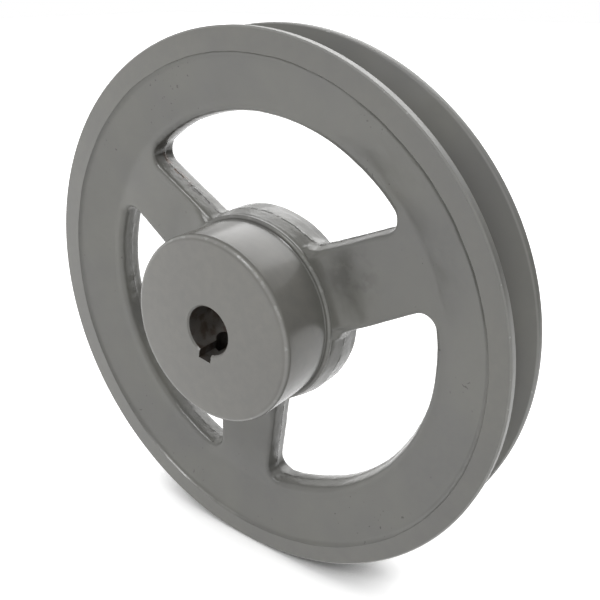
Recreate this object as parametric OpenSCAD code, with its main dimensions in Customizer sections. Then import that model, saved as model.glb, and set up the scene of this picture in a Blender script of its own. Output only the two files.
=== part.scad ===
// V-groove pulley: one casting with a grooved rim, three spokes and a turned hub, and its set screw.
// Sizes are in millimetres. The shaft axis is Y, the hub faces -Y and +Z is up.
// The origin is on the shaft axis, in the middle plane of the belt groove.

/* [Rim] */
// Outside diameter over the two lands
rim_d = 176; // [160:1:190]
// Width over the two lands
rim_w = 23; // [21:0.5:26]
// Width of the faced band inside the outer edge
band_w = 6.7; // [5:0.1:8]
// Height of the faced band above the cast slope
band_step = 0.9; // [0.4:0.1:1.5]
// Bevel on the outer edges of the lands
rim_bevel = 0.5; // [0.3:0.1:1]

/* [Belt groove] */
// Width of the groove between the lands
groove_w = 16.2; // [14:0.1:17]
// Depth of the groove below the lands
groove_depth = 14.5; // [11:0.5:15]
// Angle between the two groove walls
groove_angle = 38; // [34:1:40]
// Bevel where the groove opens
groove_bevel = 0.5; // [0.2:0.1:1]
// Rounding of the groove floor
groove_round = 1.6; // [0.8:0.1:2]

/* [Web and spokes] */
// Number of spokes
spoke_count = 3; // [3:1:4]
// Turn of the first spoke from +X towards +Z
spoke_turn = 24.4; // [0:0.1:60]
// Width of a spoke on its parting line
spoke_w = 24; // [20:0.5:26]
// Thickness of the spokes and of the rim at the windows
web_t = 10; // [9:0.5:12]
// Distance of the web's middle from the groove's middle, towards the hub's front
web_shift = 1.2; // [0:0.1:2]
// Radius of the window's outer wall on its parting line
window_r = 63; // [59:0.1:64]
// Draft of the window walls from the parting line to both faces
draft = 8; // [4:1:10]
// Rounding of the window edges
edge_r = 2.6; // [1.5:0.1:3]
// Corner radius where a spoke meets the rim
rim_corner = 5; // [4:0.5:10]
// Corner radius where a spoke meets the hub
hub_corner = 3; // [2:0.5:4]
// Run of the hollow in which a spoke's front rises to the collar
root_run = 9.5; // [6:0.5:12]

/* [Hub] */
// Diameter of the turned hub
hub_d = 60.3; // [56:0.1:64]
// How far the hub stands out past the front of the rim
hub_proud = 16.3; // [10:0.1:22]
// Rounding of the hub's front edge
hub_round = 2; // [1:0.1:3]
// How far the cast collar stands out past the turned hub, on its parting line
collar_w = 2.35; // [2:0.05:3.5]
// Height of the collar's shoulder above the front of the spokes
collar_rise = 1.6; // [1:0.1:3]
// Rounding of the collar's shoulder
collar_round = 1.6; // [1:0.1:2]
// How far the hub's rear end stands out past the back of the spokes
hub_rear = 1.8; // [0.8:0.1:3]
// Width of the relief turned at the foot of the hub
relief_w = 0.8; // [0.5:0.1:1.5]
// Depth of that relief
relief_depth = 0.35; // [0.2:0.05:0.6]

/* [Bore and keyway] */
// Bore for the shaft
bore_d = 15.875; // [14:0.005:20]
// Bevel at both ends of the bore
bore_bevel = 0.5; // [0.3:0.1:1]
// Width of the keyway
key_w = 4.76; // [4:0.01:6]
// Depth of the keyway outside the bore
key_depth = 2.38; // [2:0.01:3]
// Turn of the keyway and its screw from straight below the shaft, clockwise as the hub faces you
key_turn = 8.9; // [0:0.1:30]

/* [Set screw] */
// Outside diameter of the set screw
screw_d = 7.94; // [6:0.01:8.5]
// Length of the set screw
screw_len = 9.5; // [8:0.5:10]
// Room between the screw and its hole, measured on the radius
screw_gap = 0.05; // [0.02:0.01:0.1]
// Distance of the screw from the hub's front face
screw_in = 11; // [9:0.5:13]
// Room between the screw's tip and the roof of the keyway
tip_gap = 2; // [1.5:0.1:3]
// Size across the flats of the screw's socket
socket_af = 3.97; // [3:0.01:4.5]
// Depth of the socket
socket_depth = 4; // [3:0.1:5]

/* [Hidden] */
$fn = 144;

rim_r = rim_d / 2;
rim_h = rim_w / 2;
web_h = web_t / 2;
hub_r = hub_d / 2;
collar_r = hub_r + collar_w;
bore_r = bore_d / 2;
screw_r = screw_d / 2;
key_r = bore_r + key_depth;
spoke_h = spoke_w / 2;
band_r = rim_r - band_w;
// radius inside the hub's wall, where the web and the spokes end
hub_mid_r = (bore_r + hub_r) / 2;
// how far a cutter passes the face that it cuts
over = 1;
// run of the band's step for each millimetre of its height
step_slope = 0.5;
// flat left between a window's rounded edge and the rim's slope
web_flat = 0.6;
// how far the collar's own section stands inside the windows' inner wall
collar_gap = 0.15;
// share of the collar's rise that a spoke's front reaches, and how far its thin end sinks in
root_share = 0.8;
root_sink = 0.1;

// groove: half widths at the lands and at the floor
groove_h = groove_w / 2;
groove_floor_r = rim_r - groove_depth;
groove_slope = tan(groove_angle / 2);
groove_floor_h = groove_h - groove_depth * groove_slope;
// rounding of the groove floor: its run along the floor, and its turns up to the wall
floor_run = groove_round * tan((90 - groove_angle / 2) / 2);
floor_steps = 3;
floor_turns = [for (i = [0:floor_steps]) 180 - (90 - groove_angle / 2) * i / floor_steps];

// hub heights above the middle plane, measured towards the hub's front
face_z = rim_h + hub_proud;
web_z = web_shift + web_h;
shoulder_z = web_z + collar_rise;
rear_z = web_shift - web_h - hub_rear;
screw_z = face_z - screw_in;
tip_r = key_r + tip_gap;
// set screw: cup in its tip, the cup's rim, and the bevels at both ends
cup_r = 0.45 * screw_r;
cup_depth = 0.25 * screw_r;
cup_rim_r = 0.6 * screw_r;
tip_bevel = screw_r - cup_rim_r;
end_bevel = 0.15 * screw_r;

// window wall in section: [distance back from the parting line, height above the web's middle]
edge_turns = [0, 25, 50, 75];
edge_last = len(edge_turns) - 1;
wall_foot = (web_h - edge_r) * tan(draft);
wall_reach = wall_foot + edge_r;
wall_edge = [for (a = edge_turns) [wall_foot + edge_r * (1 - cos(a)), web_h - edge_r * (1 - sin(a))]];
// the last facet runs on straight through the web's face
wall_front = concat(wall_edge, [2 * wall_edge[edge_last] - wall_edge[edge_last - 1]]);
wall = concat(
    [for (i = [len(wall_front) - 1:-1:0]) [wall_front[i][0], -wall_front[i][1]]],
    [[0, 0]],
    wall_front
);

// corner centres of a window: distance from the axis, and turn from the window's middle
window_turn = 180 / spoke_count;
rim_corner_at = window_r - rim_corner;
rim_corner_turn = window_turn - asin((spoke_h + rim_corner) / rim_corner_at);
hub_corner_at = collar_r + hub_corner;
hub_corner_turn = window_turn - asin((spoke_h + hub_corner) / hub_corner_at);
side_turn = 90 + window_turn;

// The casting is drawn lying down with its hub upwards, then stood on its rim.
module stand() {
    rotate([90, 0, 0])
        children();
}

// Points on an arc about a centre given by its distance and turn.
// With skip = 1 the two ends are left to the arcs beside it.
function arc(at, turn, r, from, to, steps, skip = 0) = [
    for (i = [skip:steps - skip])
        let (a = from + (to - from) * i / steps)
            [at * cos(turn) + r * cos(a), at * sin(turn) + r * sin(a)]
];

// Points on the rounding of a corner in a section, about its centre.
function rounding(centre, r, turns) = [for (a = turns) centre + r * [cos(a), sin(a)]];

// One half of the rim's and web's section, from the groove floor over the land to the hub.
// The two halves differ only in the height of the web's face.
function rim_half(web_face) = concat(
    rounding([groove_floor_r + groove_round, groove_floor_h - floor_run], groove_round, floor_turns),
    [
        [rim_r - groove_bevel, groove_h - groove_bevel * groove_slope],
        [rim_r, groove_h + groove_bevel],
        [rim_r, rim_h - rim_bevel],
        [rim_r - rim_bevel, rim_h],
        [band_r, rim_h],
        [band_r - band_step * step_slope, rim_h - band_step],
        [window_r + wall_reach + web_flat, web_face],
        [hub_mid_r, web_face]
    ]
);

module rim_and_web() {
    front = rim_half(web_h + web_shift);
    back = rim_half(web_h - web_shift);
    rear = [for (i = [len(back) - 1:-1:0]) [back[i][0], -back[i][1]]];
    rotate_extrude()
        polygon(concat(front, rear));
}

// The hub's section: cast rear end, collar with its parting line, relief and turned front.
module hub() {
    core_r = collar_r - collar_gap;
    slope = tan(draft);
    rear_r = core_r - (web_shift - rear_z) * slope;
    shoulder_r = core_r - (shoulder_z - web_shift) * slope;
    relief_r = hub_r - relief_depth;
    fillet = min(collar_round, shoulder_r - relief_r);
    rotate_extrude()
        polygon(concat(
            [[0, rear_z]],
            rounding([rear_r - fillet, rear_z + fillet], fillet, [-90:30:0]),
            [[core_r, web_shift]],
            rounding([shoulder_r - fillet, shoulder_z - fillet], fillet, [0:30:90]),
            [[relief_r, shoulder_z + relief_w]],
            [[hub_r, shoulder_z + relief_w + relief_depth]],
            rounding([hub_r - hub_round, face_z - hub_round], hub_round, [0:22.5:90]),
            [[0, face_z]]
        ));
}

// Outline of a window about +X, standing back by t from its parting line.
function window_ring(t) = concat(
    arc(rim_corner_at, -rim_corner_turn, rim_corner + t, -side_turn, -rim_corner_turn, 8),
    arc(0, 0, window_r + t, -rim_corner_turn, rim_corner_turn, 14, 1),
    arc(rim_corner_at, rim_corner_turn, rim_corner + t, rim_corner_turn, side_turn, 8),
    arc(hub_corner_at, hub_corner_turn, hub_corner + t, side_turn, 180 + hub_corner_turn, 5),
    arc(0, 0, collar_r - t, hub_corner_turn, -hub_corner_turn, 8, 1),
    arc(hub_corner_at, -hub_corner_turn, hub_corner + t, 180 - hub_corner_turn, 360 - side_turn, 5)
);

// Solid through rings of equal length, listed from the bottom upwards.
module loft(rings) {
    n = len(rings[0]);
    last = (len(rings) - 1) * n;
    sides = [
        for (k = [0:len(rings) - 2], i = [0:n - 1])
            let (a = k * n + i, b = k * n + (i + 1) % n)
                each [[a, a + n, b], [b, a + n, b + n]]
    ];
    polyhedron(
        points = [for (ring = rings) each ring],
        faces = concat(sides, [[for (i = [0:n - 1]) i]], [[for (i = [n - 1:-1:0]) last + i]])
    );
}

// One opening between two spokes, drafted both ways from its parting line.
module window() {
    loft([for (w = wall) [for (p = window_ring(w[0])) [p[0], p[1], w[1] + web_shift]]]);
}

// The spoke's front rises to the collar's shoulder in a hollow.
module root_rise() {
    top = root_share * collar_rise;
    foot = web_z - root_sink;
    hollow = [
        for (u = [0:0.25:1])
            [collar_r + root_run * (1 - u), foot + (top + root_sink) * u * u]
    ];
    rotate([90, 0, 0])
        linear_extrude(spoke_w - 2 * wall_reach, center = true)
            polygon(concat([[hub_mid_r, web_shift]], hollow, [[hub_mid_r, web_z + top]]));
}

module round_spokes(offset_turn) {
    for (i = [0:spoke_count - 1])
        rotate([0, 0, spoke_turn + offset_turn + i * 360 / spoke_count])
            children();
}

// Brings what is drawn straight below the shaft to the keyway's side of the hub.
module at_key() {
    rotate([0, 0, -key_turn])
        children();
}

// Bore with bevelled ends, and the keyway below it.
module bore_and_keyway() {
    length = face_z - rear_z + 2 * over;
    translate([0, 0, rear_z - over])
        cylinder(r = bore_r, h = length);
    translate([0, 0, face_z - bore_bevel])
        cylinder(r1 = bore_r, r2 = bore_r + 2 * bore_bevel, h = 2 * bore_bevel);
    translate([0, 0, rear_z - bore_bevel])
        cylinder(r1 = bore_r + 2 * bore_bevel, r2 = bore_r, h = 2 * bore_bevel);
    at_key()
        translate([-key_w / 2, -key_r, rear_z - over])
            cube([key_w, key_r, length]);
}

// Hole for the set screw, from the underside of the hub to the keyway.
module screw_hole() {
    at_key()
        translate([0, 0, screw_z])
            rotate([90, 0, 0])
                translate([0, 0, bore_r / 2])
                    cylinder(r = screw_r + screw_gap, h = hub_r);
}

module pulley() {
    color([0.49, 0.49, 0.47])
        stand()
            difference() {
                union() {
                    difference() {
                        rim_and_web();
                        round_spokes(window_turn)
                            window();
                    }
                    round_spokes(0)
                        root_rise();
                    hub();
                }
                bore_and_keyway();
                screw_hole();
            }
}

// Cup-point set screw with a hexagon socket in its outer end.
module set_screw() {
    color([0.17, 0.17, 0.18])
        stand()
            at_key()
                translate([0, 0, screw_z])
                    rotate([90, 0, 0])
                        translate([0, 0, tip_r])
                            difference() {
                                rotate_extrude()
                                    polygon([
                                        [0, cup_depth],
                                        [cup_r, 0],
                                        [cup_rim_r, 0],
                                        [screw_r, tip_bevel],
                                        [screw_r, screw_len - end_bevel],
                                        [screw_r - end_bevel, screw_len],
                                        [0, screw_len]
                                    ]);
                                translate([0, 0, screw_len - socket_depth])
                                    cylinder(d = socket_af / cos(30), h = socket_depth + over, $fn = 6);
                            }
}

pulley();
set_screw();
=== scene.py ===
# %% [markdown]
# V-groove pulley: a painted iron casting with a grooved rim, three arms and a turned hub.
# The packed part comes in first. It is the fixed frame: every new piece is made in the same
# coordinates, in metres, with the shaft along Y, the hub towards -Y and +Z up.

# %% Load the packed part
import math
import bpy
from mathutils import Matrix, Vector


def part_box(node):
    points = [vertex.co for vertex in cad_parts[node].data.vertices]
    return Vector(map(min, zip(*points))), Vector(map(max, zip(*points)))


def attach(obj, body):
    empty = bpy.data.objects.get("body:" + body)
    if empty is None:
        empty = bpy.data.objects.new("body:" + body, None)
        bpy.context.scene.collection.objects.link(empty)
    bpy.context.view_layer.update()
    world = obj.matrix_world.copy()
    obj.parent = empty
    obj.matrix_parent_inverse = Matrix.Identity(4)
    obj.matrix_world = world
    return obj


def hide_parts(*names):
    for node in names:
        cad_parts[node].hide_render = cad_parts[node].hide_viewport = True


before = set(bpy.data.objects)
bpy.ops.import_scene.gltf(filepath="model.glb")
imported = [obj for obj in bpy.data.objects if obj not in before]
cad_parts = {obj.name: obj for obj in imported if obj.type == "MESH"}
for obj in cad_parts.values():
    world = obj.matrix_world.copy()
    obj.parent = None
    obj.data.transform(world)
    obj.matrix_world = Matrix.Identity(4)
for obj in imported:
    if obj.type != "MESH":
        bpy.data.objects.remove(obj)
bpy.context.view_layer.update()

mm = 0.001

# %% [markdown]
# A founder makes this pulley in two stages, and so does this script. The casting comes first,
# with soft edges and a slightly lumpy skin. The lathe then cuts the lands, the groove, the two
# faced bands, the hub and the bore, and leaves crisp edges. So the cast form is a dense mesh that
# can take small lumps, and the turned forms are clean shapes spun from a section, which are
# joined to it or cut out of it.
# These helpers do by code what hands would do: draw an outline, spin it, push it, join and cut.

# %% Helpers for drawing, turning and cutting
TURN_STEPS = 160


def hold(piece):
    """Select one object alone and make it the active one."""
    bpy.ops.object.select_all(action="DESELECT")
    piece.select_set(True)
    bpy.context.view_layer.objects.active = piece
    return piece


def draw(name, corners, fill=True):
    """Pull one vertex from corner to corner, in millimetres, and fill the outline. Stays in edit mode."""
    bpy.ops.object.select_all(action="DESELECT")
    bpy.ops.mesh.primitive_plane_add(size=mm)
    piece = bpy.context.object
    piece.name = piece.data.name = name
    corners = [Vector(c) * mm for c in corners]
    bpy.ops.object.mode_set(mode="EDIT")
    bpy.ops.mesh.select_all(action="SELECT")
    bpy.ops.mesh.merge(type="CENTER")
    bpy.ops.transform.translate(value=corners[0])
    for here, there in zip(corners, corners[1:]):
        bpy.ops.mesh.extrude_region_move(TRANSFORM_OT_translate={"value": there - here})
    bpy.ops.mesh.select_all(action="SELECT")
    if fill:
        bpy.ops.mesh.edge_face_add()
    return piece


def close_up():
    """Merge doubled vertices, turn all faces outwards and leave edit mode."""
    bpy.ops.mesh.select_all(action="SELECT")
    bpy.ops.mesh.remove_doubles(threshold=0.001 * mm)
    bpy.ops.mesh.normals_make_consistent(inside=False)
    bpy.ops.object.mode_set(mode="OBJECT")


def turn(name, section, steps=TURN_STEPS):
    """Spin a section of (radius, y) corners round the shaft axis. It is a loop, or ends on the axis."""
    on_axis = section[0][0] == 0 and section[-1][0] == 0
    piece = draw(name, [(r, y, 0) for r, y in section], fill=not on_axis)
    if not on_axis:
        bpy.ops.mesh.delete(type="ONLY_FACE")
    bpy.ops.mesh.select_all(action="SELECT")
    bpy.ops.mesh.spin(steps=steps, angle=2 * math.pi, center=(0, 0, 0), axis=(0, 1, 0))
    close_up()
    return piece


def block(name, corners, along):
    """Push a flat outline along a vector to make a solid."""
    piece = draw(name, corners)
    bpy.ops.mesh.extrude_region_move(TRANSFORM_OT_translate={"value": Vector(along) * mm})
    close_up()
    return piece


def place(piece, turned=(0, 0, 0), moved=(0, 0, 0)):
    """Turn and move a piece, and write its place into its mesh."""
    hold(piece)
    piece.rotation_euler = turned
    piece.location = Vector(moved) * mm
    bpy.ops.object.transform_apply(location=True, rotation=True, scale=True)
    return piece


def apply(piece, kind, **settings):
    """Add a modifier to a piece and apply it."""
    hold(piece)
    step = piece.modifiers.new(kind.lower(), kind)
    for key, value in settings.items():
        setattr(step, key, value)
    bpy.ops.object.modifier_apply(modifier=step.name)


def combine(piece, tool, how):
    """Join a tool to a piece or cut it out, and put the tool away."""
    apply(piece, "BOOLEAN", object=tool, operation=how, solver="MANIFOLD")
    bpy.data.objects.remove(tool)


def arc(centre, radius, start, end, steps):
    """Points of an arc in a section or an outline, from one angle in degrees to another."""
    turns = [math.radians(start + (end - start) * i / steps) for i in range(steps + 1)]
    return [(centre[0] + radius * math.cos(a), centre[1] + radius * math.sin(a)) for a in turns]


def triangles(piece):
    """How many triangles a piece has."""
    return sum(len(p.vertices) - 2 for p in piece.data.polygons)


# %% [markdown]
# The mould has two halves that meet on the parting plane, in the middle of the arms. Each half of
# the pattern leans back from that plane so that it leaves the sand. As on many plain castings, the
# halves sit a little off the shaft's axis and out of line with each other. So they are made one by
# one, and each is shifted by its own amount before they are joined.
# The rim's half has a rounded edge at the windows, and its face slopes out to a raised band, which
# still carries stock for the lathe to take off.

# %% Pattern of the rim
PARTING = -1.2
WEB_HALF = 5.0
DRAFT = math.tan(math.radians(8))
STOCK = 0.9
WINDOW_R = 63.0
WINDOW_EDGE = 2.4
RIM_R = 88.0
RIM_HALF = 11.5
BAND_R = 81.3
BAND_STEP = 0.9
FRONT = PARTING - WEB_HALF
BACK = PARTING + WEB_HALF
LAP = 0.05
FACE_RUN = 0.6
STEP_IN = 0.45
STEP_OUT = 0.3
ROUND_STEPS = 6


def rim_half(name, ahead, face, band):
    """Half of the rim's pattern. Ahead is -1 at the front and 1 at the back."""
    edge_r = WINDOW_R + (WEB_HALF - WINDOW_EDGE) * DRAFT + WINDOW_EDGE
    centre = (edge_r, face - ahead * WINDOW_EDGE)
    return turn(name, [
        (WINDOW_R, PARTING - ahead * LAP),
        (WINDOW_R, PARTING),
        *arc(centre, WINDOW_EDGE, 180, 180 - 90 * ahead, ROUND_STEPS),
        (edge_r + FACE_RUN, face),
        (BAND_R - STEP_IN, band - ahead * BAND_STEP),
        (BAND_R + STEP_OUT, band + ahead * STOCK),
        (RIM_R + STOCK, band + ahead * STOCK),
        (RIM_R + STOCK, PARTING - ahead * LAP),
    ])


front_half = [rim_half("rim_front", -1, FRONT, -RIM_HALF)]
back_half = [rim_half("rim_back", 1, BACK, RIM_HALF)]
print("rim pattern", [len(p.data.vertices) for p in front_half + back_half], "vertices")

# %% [markdown]
# The collar is the cast part of the hub, with a rounded shoulder at the front. The turned barrel is
# joined to it later.

# %% Pattern of the collar
COLLAR_R = 32.6
COLLAR_ROUND = 1.8
ROLL = 1.6
SHOULDER_UP = 1.6
REAR_UP = 1.8
REAR_FLARE = 0.1
SHOULDER = FRONT - SHOULDER_UP
HUB_REAR = BACK + REAR_UP
shoulder_r = COLLAR_R - (PARTING - SHOULDER) * DRAFT
rear_r = COLLAR_R + REAR_FLARE

front_half.append(turn("collar_front", [
    (0, SHOULDER),
    *[(r, SHOULDER + (y - SHOULDER) * ROLL) for r, y in
      arc((shoulder_r - COLLAR_ROUND, SHOULDER + COLLAR_ROUND), COLLAR_ROUND, 270, 360, ROUND_STEPS)],
    (COLLAR_R, PARTING),
    (COLLAR_R, PARTING + LAP),
    (0, PARTING + LAP),
]))
back_half.append(turn("collar_back", [
    (0, PARTING - LAP),
    (COLLAR_R, PARTING - LAP),
    (COLLAR_R, PARTING),
    (rear_r, HUB_REAR + STOCK),
    (0, HUB_REAR + STOCK),
]))
print("collar pattern", [len(p.data.vertices) for p in (front_half[-1], back_half[-1])], "vertices")

# %% [markdown]
# An arm is drawn as a flat outline on the parting plane, a little wider at the hub, with a hollow
# corner where it meets the rim and another where it meets the collar. Insetting the face and raising
# it a little each time gives the lean of its sides and then their rounded edge. The back half is the
# same shape, mirrored. At its root the front of an arm rises to the collar in a shallow hollow.

# %% Pattern of an arm
ARM_AHEAD = (12.1, 11.4)
ARM_BEHIND = (12.6, 11.3)
ARM_EDGE = 1.0
RIM_CORNER = 3.6
HUB_CORNER = 4.0
COLLAR_WALL = 31.8
EDGE_STEPS = 5
CORNER_STEPS = 8
INTO_HUB = 0.7
INTO_RIM = 1.12


def arm_side(hub_width, rim_width):
    """One side of an arm's outline, as (along, across) corners from the hub to the rim."""
    hub_across = hub_width + HUB_CORNER
    rim_across = rim_width + RIM_CORNER
    hub_along = math.sqrt((COLLAR_WALL + HUB_CORNER) ** 2 - hub_across ** 2)
    rim_along = math.sqrt((WINDOW_R - RIM_CORNER) ** 2 - rim_across ** 2)
    hub_turn = math.degrees(math.atan2(hub_across, hub_along))
    rim_turn = math.degrees(math.atan2(rim_across, rim_along))
    hub_arc = arc((hub_along, hub_across), HUB_CORNER, 180 + hub_turn, 270, CORNER_STEPS)
    rim_arc = arc((rim_along, rim_across), RIM_CORNER, -90, rim_turn, CORNER_STEPS)
    inside = tuple(v * INTO_HUB for v in hub_arc[0])
    outside = tuple(v * INTO_RIM for v in rim_arc[-1])
    return [inside, *hub_arc, *rim_arc, outside]


ahead_side, behind_side = arm_side(*ARM_AHEAD), arm_side(*ARM_BEHIND)
arm_rings = [((WEB_HALF - ARM_EDGE) * DRAFT, WEB_HALF - ARM_EDGE)]
for i in range(1, EDGE_STEPS + 1):
    a = math.pi / 2 * i / EDGE_STEPS
    inset = arm_rings[0][0] + ARM_EDGE * (1 - math.cos(a))
    arm_rings.append((inset, WEB_HALF - ARM_EDGE * (1 - math.sin(a))))


def arm_half(name, ahead):
    """Half of an arm's pattern, along +X."""
    outline = ahead_side + [(x, -z) for x, z in reversed(behind_side)]
    piece = block(name, [(x, PARTING - ahead * LAP, z) for x, z in outline], (0, ahead * LAP, 0))
    bpy.ops.object.mode_set(mode="EDIT")
    bpy.ops.mesh.select_all(action="DESELECT")
    bpy.ops.object.mode_set(mode="OBJECT")
    for p in piece.data.polygons:
        p.select = p.normal.y * ahead > 0.9
    bpy.ops.object.mode_set(mode="EDIT")
    reached = (0.0, 0.0)
    for back, height in arm_rings:
        bpy.ops.mesh.inset(thickness=(back - reached[0]) * mm)
        bpy.ops.transform.translate(value=(0, ahead * (height - reached[1]) * mm, 0))
        reached = (back, height)
    close_up()
    return piece


ROOT_START = 20
ROOT_RUN = 9.5
ROOT_RISE = 1.3
ROOT_SINK = 0.1
ROOT_STEPS = 5
root_half = ARM_AHEAD[0] - arm_rings[-1][0]
hollow = [u / ROOT_STEPS for u in range(ROOT_STEPS + 1)]
rise = [(COLLAR_WALL + ROOT_RUN * (1 - u), FRONT - ROOT_RISE * u * u + ROOT_SINK) for u in hollow]
root = block("root", [
    (ROOT_START, PARTING, -root_half),
    *[(x, y, -root_half) for x, y in rise],
    (ROOT_START, rise[-1][1], -root_half),
], (0, 0, 2 * root_half))
arm_front, arm_back = arm_half("arm_front", -1), arm_half("arm_back", 1)
print("arm", len(arm_front.data.vertices), "vertices; its root", len(root.data.vertices))

# %% [markdown]
# The arm is copied round the shaft, each copy with its own mesh. The copies aren't spaced quite evenly
# and one is a little wider, as in the photograph. The halves and the collar are moved off centre, and
# all patterns are then joined and remeshed into one skin of small even faces. A little smoothing
# rounds the inner corners as a moulder's fillet does.

# %% Pour the casting
ARM_TURNS = (25.0, 145.0, 263.8)
ARM_SPREAD = (1.09, 1.0, 1.0)
OFF_CENTRE = ((0.95, 0, -0.25), (0.6, 0, 0.05))
COLLAR_OFF = (-0.1, 0, -0.5)
VOXEL = 0.7
SMOOTH_BY = 0.5
SMOOTH_TIMES = 8
for arm_turn, spread in zip(ARM_TURNS, ARM_SPREAD):
    for start, half in ((arm_front, front_half), (root, front_half), (arm_back, back_half)):
        copy = start.copy()
        copy.data = start.data.copy()
        bpy.context.collection.objects.link(copy)
        copy.scale = (1, 1, spread)
        half.append(place(copy, turned=(0, -math.radians(arm_turn), 0)))
for start in (arm_front, arm_back, root):
    bpy.data.objects.remove(start)
for half, shift in zip((front_half, back_half), OFF_CENTRE):
    for piece in half:
        place(piece, moved=COLLAR_OFF if piece.name.startswith("collar") else shift)
casting = hold(front_half[0])
for piece in front_half + back_half:
    piece.select_set(True)
bpy.ops.object.join()
casting.name = casting.data.name = "casting"
casting.data.remesh_voxel_size = VOXEL * mm
casting.data.remesh_voxel_adaptivity = 0
casting.data.use_remesh_fix_poles = False
bpy.ops.object.voxel_remesh()
apply(casting, "SMOOTH", factor=SMOOTH_BY, iterations=SMOOTH_TIMES)
print("cast skin", triangles(casting), "triangles")

# %% [markdown]
# Sand leaves no true surface. Two layers of clouds push the skin in and out: a broad swell all over,
# and smaller lumps on the walls, which nobody dresses. A vertex group tells walls from faces by the
# way their normals lean.

# %% Give the skin its lumps
walls = casting.vertex_groups.new(name="walls")
for v in casting.data.vertices:
    walls.add([v.index], (1 - abs(v.normal.y)) ** 2, "REPLACE")


def lumps(name, size, height, group=""):
    """Push the skin in and out by clouds of a given size, in millimetres."""
    clouds = bpy.data.textures.new(name, "CLOUDS")
    clouds.noise_scale = size * mm
    clouds.noise_depth = 2
    apply(casting, "DISPLACE", texture=clouds, texture_coords="LOCAL", mid_level=0.5,
          strength=height * mm, vertex_group=group)


lumps("swell", size=14, height=0.5)
lumps("wall lumps", size=3, height=0.35, group="walls")
print("skin from", [round(v / mm, 1) for v in casting.bound_box[0]])

# %% [markdown]
# Now the lathe. One ring stands for all that the turning tool takes off the rim: its inner side is
# the finished contour, from the front band over the land, down and up the v-groove, to the rear
# band. Cutting the raised band flat leaves its inner edge a little wavy, as on the real casting.

# %% Turn the rim
GROOVE_HALF = 8.1
GROOVE_FLOOR = 73.5
GROOVE_LEAN = 19
GROOVE_ROUND = 1.6
BEVEL = 0.5
TOOL_IN = 3
CLEAR_Y = 20
CLEAR_R = 8
lean = math.tan(math.radians(GROOVE_LEAN))
floor_half = GROOVE_HALF - (RIM_R - GROOVE_FLOOR) * lean
floor_run = GROOVE_ROUND * math.tan(math.radians(45 - GROOVE_LEAN / 2))
contour = [
    (BAND_R - TOOL_IN, -RIM_HALF),
    (RIM_R - BEVEL, -RIM_HALF),
    (RIM_R, -RIM_HALF + BEVEL),
    (RIM_R, -GROOVE_HALF - BEVEL),
    (RIM_R - BEVEL, -GROOVE_HALF + BEVEL * lean),
    *arc((GROOVE_FLOOR + GROOVE_ROUND, -floor_half + floor_run), GROOVE_ROUND, 270 - GROOVE_LEAN, 180, 5),
]
contour += [(r, -y) for r, y in reversed(contour)]
swarf = [
    (BAND_R - TOOL_IN, -CLEAR_Y),
    *contour,
    (BAND_R - TOOL_IN, CLEAR_Y),
    (RIM_R + CLEAR_R, CLEAR_Y),
    (RIM_R + CLEAR_R, -CLEAR_Y),
]
combine(casting, turn("swarf", swarf), "DIFFERENCE")
print("rim turned", triangles(casting), "triangles")

# %% [markdown]
# The barrel of the hub is a clean turned shape with a rolled front edge, and with a small bead and a
# narrow relief where it meets the collar. It is joined to the casting, the rear end is faced off, and
# then come the bore with its bevels, the keyway and the hole for the set screw.

# %% Turn and bore the hub
HUB_R = 30.15
HUB_FACE = -27.8
HUB_ROUND = 2.0
RELIEF = 0.35
RELIEF_W = 0.8
BEAD = 1.0
BORE_R = 7.9375
KEY_HALF = 2.38
KEY_DEPTH = 2.38
KEY_R = BORE_R + KEY_DEPTH
KEY_TURN = math.radians(8.9)
SCREW_Y = HUB_FACE + 11
SCREW_R = 3.97
SCREW_ROOM = 0.05
FACING_R = 40
OVER = 1

combine(casting, turn("barrel", [
    (0, FRONT),
    (HUB_R - RELIEF, FRONT),
    *arc((HUB_R + BEAD / 3, SHOULDER + BEAD / 2), BEAD, 60, -110, 9),
    (HUB_R - RELIEF, SHOULDER - RELIEF_W),
    (HUB_R, SHOULDER - RELIEF_W - RELIEF),
    *arc((HUB_R - HUB_ROUND, HUB_FACE + HUB_ROUND), HUB_ROUND, 0, -90, 8),
    (0, HUB_FACE),
]), "UNION")
combine(casting, turn("facing", [
    (0, HUB_REAR),
    (FACING_R, HUB_REAR),
    (FACING_R, CLEAR_Y),
    (0, CLEAR_Y),
]), "DIFFERENCE")
combine(casting, turn("bore", [
    (0, HUB_FACE - OVER),
    (BORE_R + BEVEL + OVER, HUB_FACE - OVER),
    (BORE_R, HUB_FACE + BEVEL),
    (BORE_R, HUB_REAR - BEVEL),
    (BORE_R + BEVEL + OVER, HUB_REAR + OVER),
    (0, HUB_REAR + OVER),
]), "DIFFERENCE")

KEY_START = -40
KEY_RUN = 60
KEY_TOP = -2
DRILL_START = -4
DRILL_LEN = 36
DRILL_STEPS = 64
keyway = block("keyway", [
    (-KEY_HALF, KEY_START, KEY_TOP),
    (-KEY_HALF, KEY_START, -KEY_R),
    (KEY_HALF, KEY_START, -KEY_R),
    (KEY_HALF, KEY_START, KEY_TOP),
], (0, KEY_RUN, 0))
hole_r = SCREW_R + SCREW_ROOM
drill = turn("drill", [(0, 0), (hole_r, 0), (hole_r, DRILL_LEN), (0, DRILL_LEN)], DRILL_STEPS)
place(drill, turned=(-math.pi / 2, 0, 0), moved=(0, SCREW_Y, DRILL_START))
for tool in (keyway, drill):
    combine(casting, place(tool, turned=(0, KEY_TURN, 0)), "DIFFERENCE")
print("hub done", triangles(casting), "triangles")

# %% [markdown]
# The set screw sits in the underside of the hub. It is turned from a section with a cup in its tip,
# and a long v-shaped coil, wound by a Screw modifier, cuts the thread into it. A six-sided bar cuts
# the socket.

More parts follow.
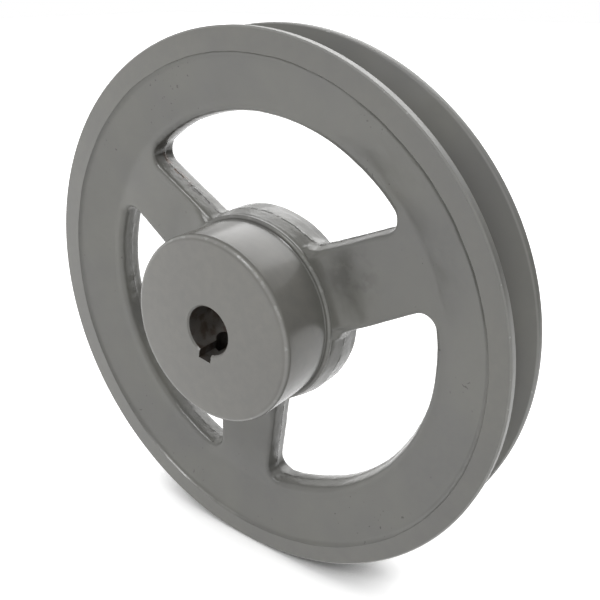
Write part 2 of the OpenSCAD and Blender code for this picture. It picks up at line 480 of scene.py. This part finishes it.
# %% Cut the set screw
SCREW_TIP = -12.32
SCREW_LEN = 9.5
PITCH = 1.41
TOOTH = 0.75
SOCKET = 3.97
CUP = 1.0
CUP_R = 0.45 * SCREW_R
TIP_R = 0.6 * SCREW_R
TIP_BEVEL = 0.4 * SCREW_R
HEAD_R = 0.85 * SCREW_R
HEAD_BEVEL = 0.15 * SCREW_R
SCREW_STEPS = 48

set_screw = turn("set_screw_piece", [
    (0, CUP),
    (CUP_R, 0),
    (TIP_R, 0),
    (SCREW_R, TIP_BEVEL),
    (SCREW_R, SCREW_LEN - HEAD_BEVEL),
    (HEAD_R, SCREW_LEN),
    (0, SCREW_LEN),
], SCREW_STEPS)

COIL_START = -2
COIL_OUT = 0.2
COIL_HALF = 0.48 * PITCH
COIL_TURNS = 10
COIL_STEPS = 36
coil = draw("coil", [
    (SCREW_R - TOOTH, COIL_START, 0),
    (SCREW_R + COIL_OUT, COIL_START + COIL_HALF, 0),
    (SCREW_R + COIL_OUT, COIL_START - COIL_HALF, 0),
])
bpy.ops.mesh.delete(type="ONLY_FACE")
bpy.ops.object.mode_set(mode="OBJECT")
apply(coil, "SCREW", axis="Y", angle=2 * math.pi, screw_offset=PITCH * mm,
      iterations=COIL_TURNS, steps=COIL_STEPS, render_steps=COIL_STEPS)
bpy.ops.object.mode_set(mode="EDIT")
bpy.ops.mesh.select_mode(type="EDGE")
bpy.ops.mesh.select_all(action="DESELECT")
bpy.ops.mesh.select_non_manifold()
bpy.ops.mesh.edge_face_add()
bpy.ops.mesh.select_mode(type="VERT")
close_up()
print("coil", len(coil.data.vertices), "vertices")
combine(set_screw, coil, "DIFFERENCE")

SOCKET_DEPTH = 4
BAR_LEN = 6
socket_r = SOCKET / math.sqrt(3)
sixths = [math.pi / 3 * i for i in range(6)]
bar = [(socket_r * math.cos(a), SCREW_LEN - SOCKET_DEPTH, socket_r * math.sin(a)) for a in sixths]
combine(set_screw, block("bar", bar, (0, BAR_LEN, 0)), "DIFFERENCE")
place(set_screw, turned=(-math.pi / 2, 0, 0), moved=(0, SCREW_Y, SCREW_TIP))
place(set_screw, turned=(0, KEY_TURN, 0))
made = [round(v / mm, 2) for v in set_screw.bound_box[0]]
packed = [round(v / mm, 2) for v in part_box("set_screw")[0]]
print("set screw", triangles(set_screw), "triangles, from", made, "; packed from", packed)

# %% [markdown]
# Finishes are node trees. Written as sums they are easier to read than wired by hand, so this small
# class wraps a socket: an operator on it adds a Math node, and make() adds any other node.

# %% A socket that does sums


class Value:
    """A socket of a node. Sums on it add nodes to the same tree."""

    def __init__(self, socket):
        self.socket = socket

    def make(self, kind, settings=None, inputs=None, out=0):
        """Add a node: settings first, then values or links on its sockets. Gives back one output."""
        tree = self.socket.id_data
        node = tree.nodes.new("ShaderNode" + kind)
        for key, value in (settings or {}).items():
            setattr(node, key, value)
        for key, value in (inputs or {}).items():
            if isinstance(value, Value):
                tree.links.new(value.socket, node.inputs[key])
            else:
                node.inputs[key].default_value = value
        return Value(node.outputs[out])

    def feed(self, socket):
        """Link this value to a socket of a shader."""
        self.socket.id_data.links.new(self.socket, socket)

    def math(self, operation, *others):
        """Any sum of the Math node."""
        return self.make("Math", {"operation": operation}, dict(enumerate((self, *others))))

    def __add__(self, other):
        return self.math("ADD", other)

    def __mul__(self, other):
        return self.math("MULTIPLY", other)

    def __sub__(self, other):
        return self.math("SUBTRACT", other)

    def __rsub__(self, other):
        return self * -1.0 + other

    __radd__ = __add__
    __rmul__ = __mul__

    def size(self):
        """The value without its sign."""
        return self.math("ABSOLUTE")

    def rise(self, low, high):
        """0 below low and 1 above high, smooth between."""
        return self.make("MapRange", {"interpolation_type": "SMOOTHSTEP"}, {0: self, 1: low, 2: high})

    def fall(self, low, high):
        """1 below low and 0 above high, smooth between."""
        return 1.0 - self.rise(low, high)

    def mix(self, first, second):
        """Mix two colours by this value."""
        return self.make("Mix", {"data_type": "RGBA"}, {0: self, 6: first, 7: second}, 2)

    def part(self, k):
        """One part of a place: 0 for x, 1 for y, 2 for z."""
        return self.make("SeparateXYZ", None, {0: self}, k)

    def away(self, point):
        """How far a place is from a point."""
        return self.make("VectorMath", {"operation": "DISTANCE"}, {0: self, 1: point}, 1)

    def spots(self, size, detail=2.0):
        """Noise over a place, with spots of a size in millimetres."""
        return self.make("TexNoise", None, {"Vector": self, "Scale": 1 / size, "Detail": detail})


def finish(name):
    """A new material: its shader, and the place on the object in millimetres."""
    material = bpy.data.materials.new(name)
    material.use_nodes = True
    shader = material.node_tree.nodes["Principled BSDF"]
    spot = Value(shader.inputs[0]).make("TexCoord", out=3)
    spot = spot.make("VectorMath", {"operation": "SCALE"}, {0: spot, "Scale": 1 / mm})
    return material, shader, spot


def relief(height, shader):
    """Use a height in millimetres as a bump."""
    bump = height.make("Bump", None, {"Strength": 1.0, "Distance": mm, "Height": height})
    bump.feed(shader.inputs["Normal"])


print("sums on sockets:", [m for m in vars(Value) if not m.startswith("_")])

# %% [markdown]
# The whole casting was dipped in a satin grey enamel. Its grey isn't quite even: a broad change over
# the casting and a finer mottle are mixed into it. Both enamels below start from this colour and from
# the distance to the shaft's axis, because wear, dirt and the painted shade and highlights below all
# follow the radius of a round part.

# %% Grey enamel
GREY = (0.177, 0.175, 0.161, 1)
GREY_LOW = (0.163, 0.162, 0.154, 1)
GREY_HIGH = (0.188, 0.187, 0.169, 1)
HUB_GREY = (0.228, 0.221, 0.202, 1)
# Dark colour for real dirt and pits, and for the painted shade in the marks below.
DIRT_AND_SHADE = (0.075, 0.072, 0.064, 1)
RUST = (0.105, 0.062, 0.040, 1)
# Light colour for rubbed paint, and for the painted highlights and sheen below.
WEAR_AND_HIGHLIGHT = (0.52, 0.52, 0.50, 1)


def enamel(name):
    """The paint's colour, and what the finishes below need to know of a place."""
    material, shader, spot = finish(name)
    colour = spot.spots(26).rise(0.3, 0.7).mix(GREY_LOW, GREY_HIGH)
    colour = (spot.spots(2.2, 3).rise(0.35, 0.65) * 0.35).mix(colour, GREY)
    x, z = spot.part(0), spot.part(2)
    radius = (x * x + z * z).math("SQRT")
    return material, shader, spot, colour, radius


print("greys from", GREY_LOW[:3], "to", GREY_HIGH[:3])

# %% [markdown]
# The cast skin keeps the grain of the sand. Grime gathers along the parting line, and one sore place
# on the parting line has rusted. Shade is painted dark into one corner of a window, along the rim wall
# above it, on the root of the right arm beside the collar and along the step below the faced band,
# weaker at the bottom. A highlight is painted light all round the small bead at the hub and on the
# step at the lower left. Each mark is a mask, made from where it is and broken up by noise, which
# mixes one more colour over the paint.

# %% Enamel on the cast skin
SORE = (-36.5, PARTING, 39.0)
CORNER = (-41.5, PARTING, 46.0)
SHADED_WALL = (-33.0, PARTING, 54.0)
SHADED_ROOT = (37.5, -6.2, 20.0)

cast_skin, shader, spot, colour, radius = enamel("cast enamel")
x, y, z = (spot.part(k) for k in range(3))
(spot.spots(9, 3) * 0.12 + 0.18).feed(shader.inputs["Roughness"])
from_parting = (y - PARTING).size()
between_edges = from_parting.fall(4.0, 5.0)
inside_rim = radius.fall(66, 68)
seam = inside_rim * (radius.fall(58, 62) * 0.75 + 0.25)

sore = spot.away(SORE)
dirt = from_parting - spot.spots(4, 3).rise(0.39, 0.63) * (sore.fall(6, 24) * 1.5 + 0.2)
colour = (dirt.fall(0.05, 0.3) * seam * (radius.rise(33, 36) * 0.5 + 0.3)).mix(colour, DIRT_AND_SHADE)
# Painted shade: a dark patch in the window's corner where the rim meets the arm.
corner_shade = spot.away(CORNER).fall(4, 17) * radius.rise(57.0, 60.5) * between_edges
colour = (corner_shade * spot.spots(6, 2).rise(0.2, 0.6) * 0.7).mix(colour, DIRT_AND_SHADE)
# Painted shade: the rim wall above that corner, which faces away from the light, is darkened.
wall_shade = spot.away(SHADED_WALL).fall(8, 26) * radius.rise(59.5, 61.5) * between_edges
colour = (wall_shade * spot.spots(3, 3).rise(0.3, 0.6) * 0.6).mix(colour, DIRT_AND_SHADE)
# Painted shade: blotchy darkening on the right arm's root beside the collar.
root_shade = spot.away(SHADED_ROOT).fall(3, 12)
colour = (root_shade * spot.spots(4, 3).rise(0.4, 0.65) * 0.3).mix(colour, DIRT_AND_SHADE)

# Painted highlight: a light line all round the small bead at the hub.
bead = (radius - (HUB_R + BEAD)).size() + (y - (SHOULDER - BEAD * 0.2)).size()
colour = (bead.fall(0.3, 0.9) * (spot.spots(3, 3).rise(0.5, 0.65) * 0.18 + 0.1)).mix(colour, WEAR_AND_HIGHLIGHT)
low = z.fall(-55, -30)
left = x.fall(-15, 10)
# Painted shade: a dark line along the band's step, weaker at the bottom.
at_step = (radius - (BAND_R - 0.2)).size()
colour = (at_step.fall(0.1, 0.7) * spot.spots(9).rise(0.25, 0.6) * (0.5 - low * 0.42)).mix(colour, DIRT_AND_SHADE)
# Painted highlight: a light line on the step at the lower left.
step_highlight = at_step.fall(0.1, 0.5) * low * left * (spot.spots(7, 3).rise(0.35, 0.75) * 0.25 + 0.08)
colour = step_highlight.mix(colour, WEAR_AND_HIGHLIGHT)
pits = spot.spots(1.3, 1).rise(0.70, 0.76) * spot.spots(18).rise(0.52, 0.62)
colour = (pits * 0.7).mix(colour, DIRT_AND_SHADE)
rusty = sore.fall(4, 10) * from_parting.fall(0.6, 1.5) * spot.spots(2.4, 3).rise(0.46, 0.56)
colour = rusty.mix(colour, RUST)
colour.feed(shader.inputs["Base Color"])

ridge = from_parting.fall(0.1, 0.6) * spot.spots(2.5, 3).rise(0.4, 0.6) * seam
on_wall = from_parting.fall(4.0, 4.7) * inside_rim
relief(spot.spots(5, 2) * 0.05 + spot.spots(1.1, 3) * (on_wall * 0.07 + 0.02) + ridge * 0.3, shader)
print("cast enamel", len(cast_skin.node_tree.nodes), "nodes")

# %% [markdown]
# On the turned surfaces the tool's fine rings show through the paint. The barrel of the hub is a
# little lighter, the groove is duller, with painted shade deepening towards its floor, and the lands
# carry a painted sheen. A thin highlight is painted along the corners of the lands and the rolled
# edge of the hub, with spots where the paint is rubbed bright.

# %% Enamel on the turned surfaces
turned_skin, shader, spot, colour, radius = enamel("turned enamel")
y = spot.part(1)
colour = (y.fall(-14, -10) * 0.6).mix(colour, HUB_GREY)
from_middle = y.size()
between_lands = from_middle.fall(GROOVE_HALF, GROOVE_HALF + 0.4)
in_groove = radius.rise(70, 72) * radius.fall(RIM_R - 0.6, RIM_R - 0.4) * between_lands
on_land = radius.rise(RIM_R - 0.6, RIM_R - 0.2)
(spot.spots(9, 3) * 0.12 + in_groove * 0.32 + on_land * 0.2 + 0.17).feed(shader.inputs["Roughness"])
# Painted shade: the groove gets darker towards its floor.
colour = (in_groove * radius.fall(GROOVE_FLOOR + 2, RIM_R - 1) * 0.5).mix(colour, DIRT_AND_SHADE)
# Painted sheen: the lands are a little lighter.
colour = (on_land * 0.12).mix(colour, WEAR_AND_HIGHLIGHT)
colour = (spot.spots(3.5, 3).rise(0.3, 0.7) * 0.3).mix(colour, GREY_LOW)

# Painted highlight: a thin light line along the corners of the lands and the hub's rolled edge, with
# spots of rubbed paint.
outer = (radius - (RIM_R - 0.25)).size()
edge = outer + (from_middle - (RIM_HALF - 0.25)).size()
mouth = outer + (from_middle - (GROOVE_HALF + 0.25)).size()
wear_and_highlight = spot.spots(1.7, 3).rise(0.67, 0.73) * 0.5 + 0.16
rubbed_and_highlight = edge.math("MINIMUM", mouth).fall(0.2, 0.7) * wear_and_highlight
rolled = (radius - (HUB_R - 0.6)).size() + (y - (HUB_FACE + 0.6)).size()
rubbed_and_highlight = rubbed_and_highlight + rolled.fall(0.2, 1.1) * (spot.spots(2.2, 4).rise(0.54, 0.68) * 0.3 + 0.28)
colour = rubbed_and_highlight.mix(colour, WEAR_AND_HIGHLIGHT)
colour.feed(shader.inputs["Base Color"])

rings = ((radius + y) * 7.0 + spot.spots(14) * 5.0).math("SINE")
relief(rings * spot.spots(20).rise(0.3, 0.7) * 0.0025 + spot.spots(6, 2) * 0.03 + rubbed_and_highlight * -0.06, shader)
print("turned enamel", len(turned_skin.node_tree.nodes), "nodes")

# %% [markdown]
# The bore, the keyway and the tapped hole were cut last and never painted: dark iron with a brown
# bloom, and fine rings from the drill. The set screw is blackened steel, grey where tools touched it.

# %% Bare iron and blackened steel
IRON = (0.17, 0.16, 0.148, 1)
BLOOM = (0.10, 0.078, 0.062, 1)
bare_iron, shader, spot = finish("bored iron")
spot.spots(3, 3).rise(0.4, 0.65).mix(IRON, BLOOM).feed(shader.inputs["Base Color"])
shader.inputs["Metallic"].default_value = 0.7
(spot.spots(2, 2) * 0.2 + 0.32).feed(shader.inputs["Roughness"])
y = spot.part(1)
relief((y * 9.0 + spot.spots(8) * 4.0).math("SINE") * 0.006 + spot.spots(0.8, 2) * 0.02, shader)

BLACK = (0.06, 0.06, 0.063, 1)
WORN = (0.15, 0.145, 0.14, 1)
black_steel, shader, spot = finish("blackened steel")
(spot.spots(1.2, 3).rise(0.55, 0.7) * 0.5).mix(BLACK, WORN).feed(shader.inputs["Base Color"])
shader.inputs["Metallic"].default_value = 0.8
(spot.spots(1.5, 2) * 0.2 + 0.3).feed(shader.inputs["Roughness"])
relief(spot.spots(0.6, 2) * 0.01, shader)
print("iron and steel", len(bare_iron.node_tree.nodes), len(black_steel.node_tree.nodes), "nodes")

# %% [markdown]
# Each face of the casting gets its finish by its place: what the lathe touched is found from its
# radius and its distance from the middle, and all else is cast skin.

# %% Share out the finishes
casting.data.materials.clear()
for material in (cast_skin, turned_skin, bare_iron):
    casting.data.materials.append(material)


def finish_of(middle):
    """0 for cast skin, 1 for turned enamel, 2 for bored iron. Small numbers are room for rounding."""
    x, y, z = middle / mm
    r = math.hypot(x, z)
    across = x * math.cos(KEY_TURN) - z * math.sin(KEY_TURN)
    up = x * math.sin(KEY_TURN) + z * math.cos(KEY_TURN)
    within = HUB_FACE + 0.01 < y < HUB_REAR - 0.01
    in_bore = r < BORE_R + 0.05
    in_keyway = r < KEY_R + 0.3 and abs(across) < KEY_HALF + 0.05 and up < 0 and within
    in_hole = math.hypot(across, y - SCREW_Y) < SCREW_R + 0.1 and -HUB_R + 0.6 < up < 0
    if in_bore or in_keyway or in_hole:
        return 2
    on_band = abs(y) > RIM_HALF - 0.02
    on_land = r > RIM_R - 0.6
    in_groove = r > GROOVE_FLOOR - 0.5 and abs(y) < floor_half + (r - GROOVE_FLOOR) * lean + 0.4
    on_barrel = r < HUB_R + 0.05 and y < SHOULDER - 0.05
    on_rear = r < HUB_R + 2 and y > HUB_REAR - 0.02
    return 1 if on_band or on_land or in_groove or on_barrel or on_rear else 0


counts = [0, 0, 0]
for face in casting.data.polygons:
    face.material_index = finish_of(face.center)
    counts[face.material_index] += 1
set_screw.data.materials.clear()
set_screw.data.materials.append(black_steel)
for piece in (casting, set_screw):
    hold(piece)
    bpy.ops.object.shade_smooth_by_angle(angle=math.radians(40))
print("faces of cast, turned and bored iron", counts)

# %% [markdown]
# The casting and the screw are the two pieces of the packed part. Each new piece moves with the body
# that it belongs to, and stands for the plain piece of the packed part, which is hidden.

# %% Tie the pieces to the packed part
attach(casting, "wheel")
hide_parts("pulley")
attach(set_screw, "screw")
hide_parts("set_screw")
print("pieces", casting.name, "and", set_screw.name)

# %% [markdown]
# The pulley stands on a white floor, as in a catalogue. To the camera and in reflections the floor
# glows white, but not close under the rim, where its own shading lets the contact shadow show.

# %% White floor
GLOW = 0.8
GLOW_MIRRORED = 0.9
NEAR = 0.04

bpy.ops.object.select_all(action="DESELECT")
bpy.ops.mesh.primitive_plane_add(size=8, location=(0, 0, -RIM_R * mm))
floor = bpy.context.object
floor.name = "floor"
white = bpy.data.materials.new("white floor")
white.use_nodes = True
shader = white.node_tree.nodes["Principled BSDF"]
shader.inputs["Base Color"].default_value = (0.82, 0.82, 0.82, 1)
shader.inputs["Roughness"].default_value = 0.9


def ray_kinds(start):
    """Three values: 1 for a ray from the camera, from a reflection, or through glass."""
    return [start.make("LightPath", out=k) for k in (0, 3, 6)]


start = Value(shader.inputs[0])
camera, glossy, through = ray_kinds(start)
open_floor = start.make("AmbientOcclusion", {"samples": 8}, {"Distance": NEAR}, 1).rise(0.3, 0.85)
(camera * open_floor * GLOW + (glossy + through) * GLOW_MIRRORED).feed(shader.inputs["Emission Color"])
shader.inputs["Emission Strength"].default_value = 1
floor.data.materials.append(white)
print("floor at", round(floor.location.z / mm, 1), "mm")

# %% [markdown]
# The surroundings look white to the camera and in reflections, but they give only a weak light. Most
# light comes from a very wide source above and behind, and from a narrower key light above the front.
# A weak one stands at the right side, and a low lamp at the front left, which reflections don't show,
# fills the shaded walls.

# %% Sky and lamps
SKY = 0.26

world = bpy.data.worlds.new("studio")
bpy.context.scene.world = world
world.use_nodes = True
sky = world.node_tree.nodes["Background"]
camera, glossy, through = ray_kinds(Value(sky.inputs[0]))
((camera + glossy + through).math("MINIMUM", 1.0) * (1 - SKY) + SKY).feed(sky.inputs["Color"])
sky.inputs["Strength"].default_value = 1


def soft_light(name, towards, strength, spread):
    """A wide soft light far away, in the direction given from the object."""
    lamp = bpy.data.objects.new(name, bpy.data.lights.new(name, "SUN"))
    bpy.context.collection.objects.link(lamp)
    lamp.data.energy = strength
    lamp.data.angle = math.radians(spread)
    lamp.rotation_euler = Vector(towards).to_track_quat("Z", "Y").to_euler()


soft_light("back", (-0.20, 0.76, 0.62), strength=1.7, spread=56)
soft_light("key", (0.08, -0.59, 0.81), strength=0.86, spread=16)
soft_light("side", (0.60, -0.12, 0.75), strength=0.26, spread=50)

fill = bpy.data.objects.new("fill", bpy.data.lights.new("fill", "AREA"))
bpy.context.collection.objects.link(fill)
fill.location = (-0.42, -0.50, -0.01)
fill.rotation_euler = fill.location.to_track_quat("Z", "Y").to_euler()
fill.data.energy = 1.1
fill.data.size = 0.5
fill.visible_glossy = False
print("lamps", [lamp.name for lamp in bpy.data.lights])

# %% [markdown]
# A dark card stands behind the pulley on the right. The camera doesn't see it and it casts no shadow:
# it is there for reflections, and gives the satin paint its shape as a photographer's black flag does.

# %% Black card
CARD_TURN = (math.radians(90), 0, math.radians(-52))

bpy.ops.mesh.primitive_plane_add(size=1, location=(0.38, 0.30, 0.005), rotation=CARD_TURN)
card = bpy.context.object
card.name = "card"
card.scale = (0.9, 0.23, 1)
card.visible_camera = False
card.visible_shadow = False
black = bpy.data.materials.new("black card")
black.use_nodes = True
shader = black.node_tree.nodes["Principled BSDF"]
shader.inputs["Base Color"].default_value = (0.02, 0.02, 0.02, 1)
shader.inputs["Roughness"].default_value = 0.9
card.data.materials.append(black)
print("card", [round(v, 2) for v in card.scale[:2]], "m")

# %% [markdown]
# The camera stands close to the pulley, in front, to the right and a little above. Its place, lens and
# shift come from circles of the pulley fitted to the photograph. The plain view transform keeps the
# white floor white.

# %% Camera
eye = bpy.data.objects.new("camera", bpy.data.cameras.new("camera"))
bpy.context.collection.objects.link(eye)
eye.location = (0.1400, -0.1746, 0.0979)
eye.rotation_euler = (math.radians(70.10), 0, math.radians(36.62))
eye.data.sensor_width = 36
eye.data.lens = 44.23
eye.data.shift_x = 0.018
eye.data.shift_y = -0.0773
eye.data.clip_start = 0.01
bpy.context.scene.camera = eye
bpy.context.scene.view_settings.view_transform = "Standard"
print("camera", round(eye.location.length, 3), "m from the pulley's middle")

# %% [markdown]
